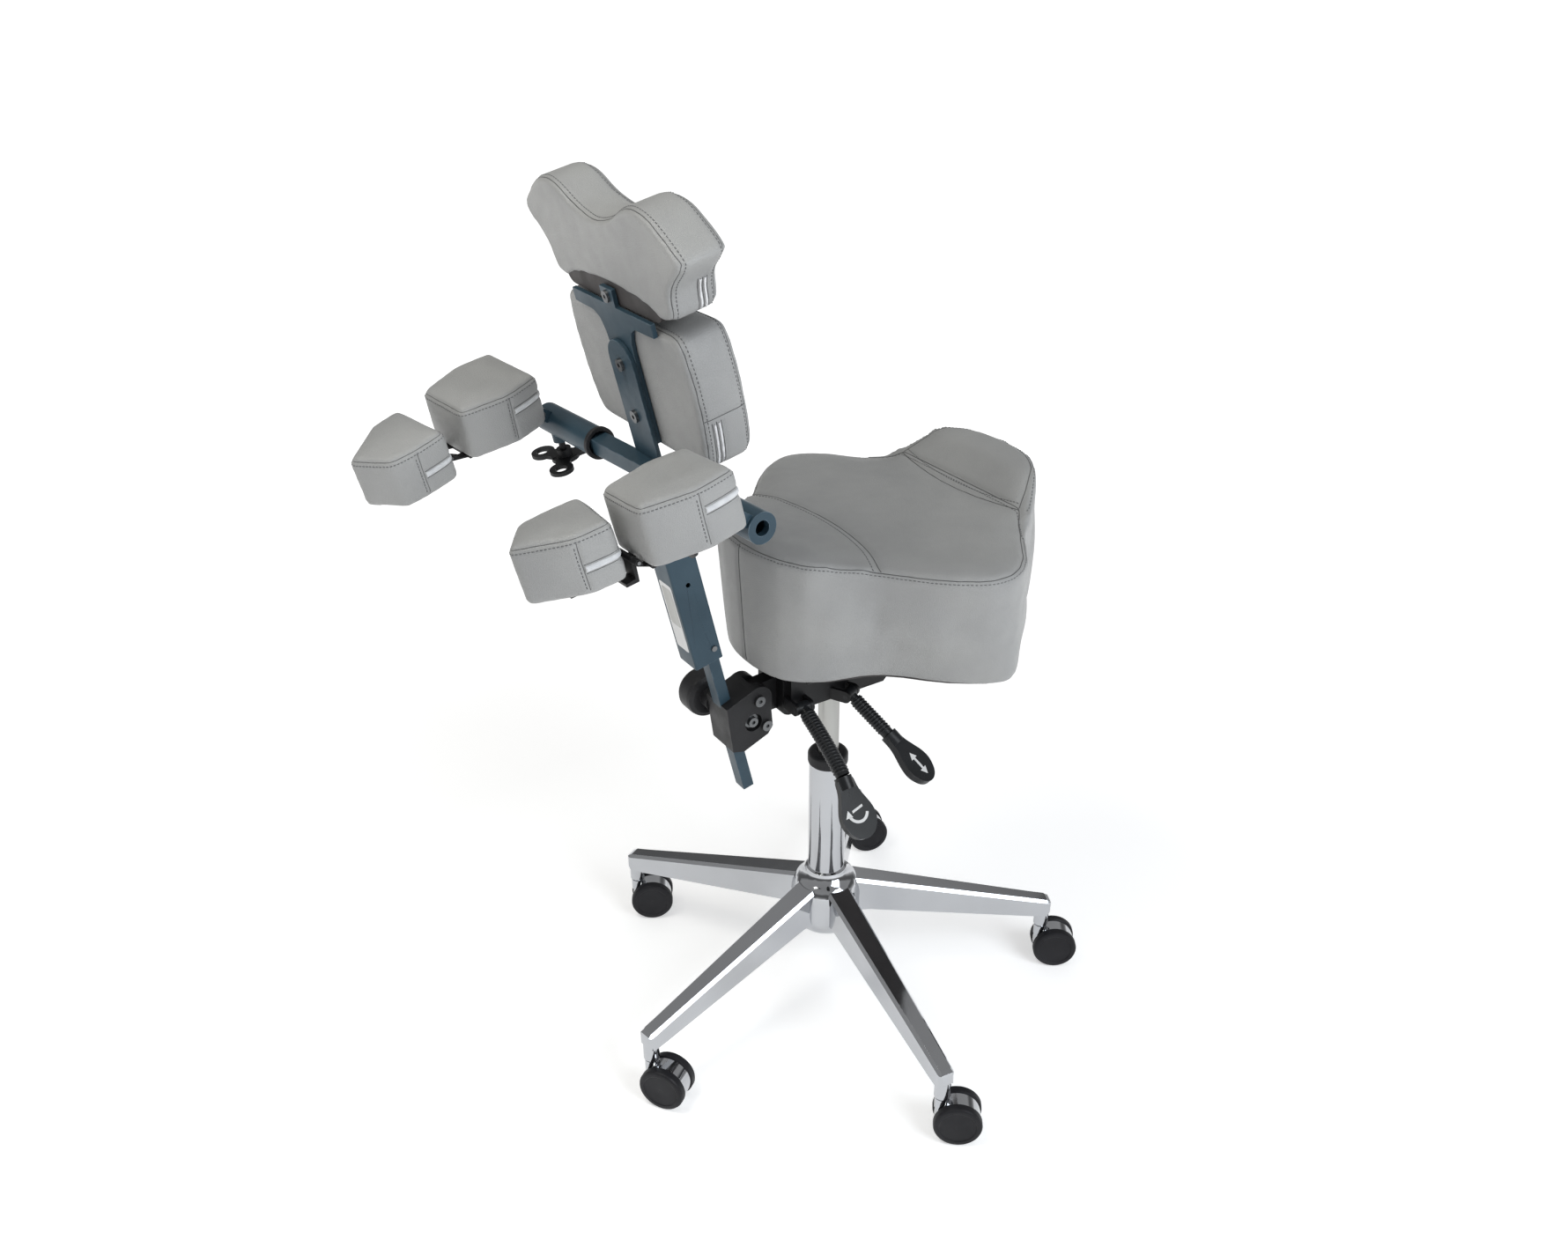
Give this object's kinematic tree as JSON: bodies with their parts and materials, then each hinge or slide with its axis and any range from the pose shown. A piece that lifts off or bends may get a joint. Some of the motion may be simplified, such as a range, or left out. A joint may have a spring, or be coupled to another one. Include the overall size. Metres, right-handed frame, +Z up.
{
  "type": "kneeling massage chair",
  "caption": "Rolling massage chair: star base on casters, gas lift, saddle seat with tilt, and a leaning adjustable mast with chest, head, elbow and hand pads.",
  "frame": {"origin": "on the floor under the centre of the whole chair in plan", "axes": "+Z up, +X forward from the seat towards the mast, +Y to the left of the person seated"},
  "size_m": [0.8694, 0.6636, 1.158],
  "materials": {
    "chrome": "polished chrome plating",
    "galvanised_steel": "dull zinc grey",
    "bright_steel": "plain bright zinc",
    "wheel_black": "matt moulded",
    "plastic_black": "matt moulded",
    "lever_black": "semi matt moulded",
    "mechanism_black": "black powder coat",
    "blue_grey_paint": "semi gloss powder coat",
    "grey_leatherette": "fine grained leatherette with stitched seams",
    "board_black": "black stained board"
  },
  "bodies": {
    "base": {"star_base": "chrome", "column_tube": "chrome", "column_collar": "plastic_black"},
    "piston": {"gas_piston": "galvanised_steel"},
    "mechanism": {"mechanism_housing": "mechanism_black", "tilt_pin": "bright_steel", "mast_bracket": "mechanism_black"},
    "seat": {"tilt_plate": "mechanism_black", "seat_board": "board_black", "seat_cushion": "grey_leatherette"},
    "height_lever": {"height_lever_coil": "lever_black", "height_lever_paddle": "lever_black"},
    "tilt_lever": {"tilt_lever_coil": "lever_black", "tilt_lever_paddle": "lever_black"},
    "clamp": {"clamp_block": "plastic_black", "clamp_screws": "bright_steel"},
    "mast_knob": {"clamp_knob": "plastic_black"},
    "mast": {"slider_bar": "blue_grey_paint", "mast_tube": "blue_grey_paint", "crossbar": "blue_grey_paint", "mast_flat": "blue_grey_paint", "t_bracket": "blue_grey_paint", "frame_bolts": "bright_steel", "chest_board": "board_black", "chest_pad": "grey_leatherette", "head_board": "board_black", "head_pad": "grey_leatherette"},
    "caster_1": {"caster_1_hood": "chrome"},
    "caster_1_roll": {"caster_1_axle": "bright_steel", "caster_1_wheels": "wheel_black"},
    "caster_2": {"caster_2_hood": "chrome"},
    "caster_2_roll": {"caster_2_axle": "bright_steel", "caster_2_wheels": "wheel_black"},
    "caster_3": {"caster_3_hood": "chrome"},
    "caster_3_roll": {"caster_3_axle": "bright_steel", "caster_3_wheels": "wheel_black"},
    "caster_4": {"caster_4_hood": "chrome"},
    "caster_4_roll": {"caster_4_axle": "bright_steel", "caster_4_wheels": "wheel_black"},
    "caster_5": {"caster_5_hood": "chrome"},
    "caster_5_roll": {"caster_5_axle": "bright_steel", "caster_5_wheels": "wheel_black"},
    "left_arm_slide": {"left_collar": "plastic_black"},
    "left_arm": {"left_sleeve": "blue_grey_paint", "left_tilt_pin": "bright_steel"},
    "left_arm_knob": {"left_lock_knob": "plastic_black"},
    "left_elbow": {"left_elbow_plate": "mechanism_black", "left_elbow_pad": "grey_leatherette", "left_hand_pin": "bright_steel"},
    "left_hand": {"left_hand_plate": "mechanism_black", "left_hand_pad": "grey_leatherette"},
    "right_arm_slide": {"right_collar": "plastic_black"},
    "right_arm": {"right_sleeve": "blue_grey_paint", "right_tilt_pin": "bright_steel"},
    "right_arm_knob": {"right_lock_knob": "plastic_black"},
    "right_elbow": {"right_elbow_plate": "mechanism_black", "right_elbow_pad": "grey_leatherette", "right_hand_pin": "bright_steel"},
    "right_hand": {"right_hand_plate": "mechanism_black", "right_hand_pad": "grey_leatherette"}
  },
  "joints": [
    {"name": "caster_1_swivel", "type": "hinge", "parent": "base", "child": "caster_1", "pos_m": [0.21842, 0.0279, 0.066], "axis": [0, 0, 1], "continuous": true},
    {"name": "caster_1_spin", "type": "hinge", "parent": "caster_1", "child": "caster_1_roll", "pos_m": [0.20656, 0.04522, 0.031], "axis": [-0.8251, -0.565, 0], "continuous": true},
    {"name": "caster_2_swivel", "type": "hinge", "parent": "base", "child": "caster_2", "pos_m": [-0.05319, 0.28475, 0.066], "axis": [0, 0, 1], "continuous": true},
    {"name": "caster_2_spin", "type": "hinge", "parent": "caster_2", "child": "caster_2_roll", "pos_m": [-0.06985, 0.29754, 0.031], "axis": [-0.6088, -0.7934, 0], "continuous": true},
    {"name": "caster_3_swivel", "type": "hinge", "parent": "base", "child": "caster_3", "pos_m": [-0.38141, 0.1058, 0.066], "axis": [0, 0, 1], "continuous": true},
    {"name": "caster_3_spin", "type": "hinge", "parent": "caster_3", "child": "caster_3_roll", "pos_m": [-0.39863, 0.11782, 0.031], "axis": [-0.5721, -0.8202, 0], "continuous": true},
    {"name": "caster_4_swivel", "type": "hinge", "parent": "base", "child": "caster_4", "pos_m": [-0.31264, -0.26165, 0.066], "axis": [0, 0, 1], "continuous": true},
    {"name": "caster_4_spin", "type": "hinge", "parent": "caster_4", "child": "caster_4_roll", "pos_m": [-0.33238, -0.25447, 0.031], "axis": [-0.342, -0.9397, 0], "continuous": true},
    {"name": "caster_5_swivel", "type": "hinge", "parent": "base", "child": "caster_5", "pos_m": [0.05807, -0.3098, 0.066], "axis": [0, 0, 1], "continuous": true},
    {"name": "caster_5_spin", "type": "hinge", "parent": "caster_5", "child": "caster_5_roll", "pos_m": [0.03978, -0.29949, 0.031], "axis": [-0.4909, -0.8712, 0], "continuous": true},
    {"name": "gas_lift", "type": "slide", "parent": "base", "child": "piston", "axis": [0, 0, 1], "range_m": [-0.07, 0.06]},
    {"name": "seat_swivel", "type": "hinge", "parent": "piston", "child": "mechanism", "pos_m": [-0.09415, -0.0306, 0.5], "axis": [0, 0, 1], "continuous": true},
    {"name": "seat_tilt", "type": "hinge", "parent": "mechanism", "child": "seat", "pos_m": [-0.14415, -0.0306, 0.53], "axis": [0, -1, 0], "range_deg": [0, 8]},
    {"name": "height_lever_pull", "type": "hinge", "parent": "mechanism", "child": "height_lever", "pos_m": [-0.08915, 0.0204, 0.506], "axis": [0.891, 0.454, 0], "range_deg": [0, 10], "stiffness_Nm_per_rad": 8, "springref_deg": -2.86},
    {"name": "tilt_lever_pull", "type": "hinge", "parent": "mechanism", "child": "tilt_lever", "pos_m": [-0.01815, 0.0204, 0.509], "axis": [1, 0, 0], "range_deg": [0, 10], "stiffness_Nm_per_rad": 8, "springref_deg": -2.86},
    {"name": "mast_lean", "type": "hinge", "parent": "mechanism", "child": "clamp", "pos_m": [0.02785, -0.0306, 0.52], "axis": [0, 1, 0], "range_deg": [-8, 20]},
    {"name": "mast_knob_turn", "type": "hinge", "parent": "clamp", "child": "mast_knob", "pos_m": [0.06185, -0.0846, 0.506], "axis": [0, -1, 0], "range_deg": [0, 270]},
    {"name": "mast_height", "type": "slide", "parent": "clamp", "child": "mast", "axis": [0.2275, 0, 0.9738], "range_m": [-0.05, 0.055]},
    {"name": "left_arm_out", "type": "slide", "parent": "mast", "child": "left_arm_slide", "axis": [-0.0679, 0.9976, 0.0159], "range_m": [-0.02, 0.04]},
    {"name": "left_arm_pitch", "type": "hinge", "parent": "left_arm_slide", "child": "left_arm", "pos_m": [0.14566, 0.11903, 0.84838], "axis": [-0.0679, 0.9976, 0.0159], "range_deg": [-10, 25]},
    {"name": "left_arm_knob_turn", "type": "hinge", "parent": "left_arm", "child": "left_arm_knob", "pos_m": [0.19059, 0.08175, 0.83237], "axis": [0.9373, 0.0693, -0.3415], "range_deg": [0, 270]},
    {"name": "left_elbow_tilt", "type": "hinge", "parent": "left_arm", "child": "left_elbow", "pos_m": [0.16775, 0.16837, 0.86655], "axis": [-0.0679, 0.9976, 0.0159], "range_deg": [-12, 12]},
    {"name": "left_hand_fold", "type": "hinge", "parent": "left_elbow", "child": "left_hand", "pos_m": [0.28572, 0.17848, 0.85414], "axis": [0.0016, 0.9963, 0.0854], "range_deg": [-5, 25]},
    {"name": "right_arm_out", "type": "slide", "parent": "mast", "child": "right_arm_slide", "axis": [0.0679, -0.9976, -0.0159], "range_m": [-0.02, 0.04]},
    {"name": "right_arm_pitch", "type": "hinge", "parent": "right_arm_slide", "child": "right_arm", "pos_m": [0.16604, -0.18023, 0.84362], "axis": [-0.0679, 0.9976, 0.0159], "range_deg": [-10, 25]},
    {"name": "right_arm_knob_turn", "type": "hinge", "parent": "right_arm", "child": "right_arm_knob", "pos_m": [0.16032, -0.22803, 0.79876], "axis": [-0.1994, 0.002, -0.9799], "range_deg": [0, 270]},
    {"name": "right_elbow_tilt", "type": "hinge", "parent": "right_arm", "child": "right_elbow", "pos_m": [0.19026, -0.22691, 0.85687], "axis": [-0.0679, 0.9976, 0.0159], "range_deg": [-12, 12]},
    {"name": "right_hand_fold", "type": "hinge", "parent": "right_elbow", "child": "right_hand", "pos_m": [0.31845, -0.20761, 0.83969], "axis": [-0.2075, 0.9745, -0.085], "range_deg": [-5, 25]}
  ]
}
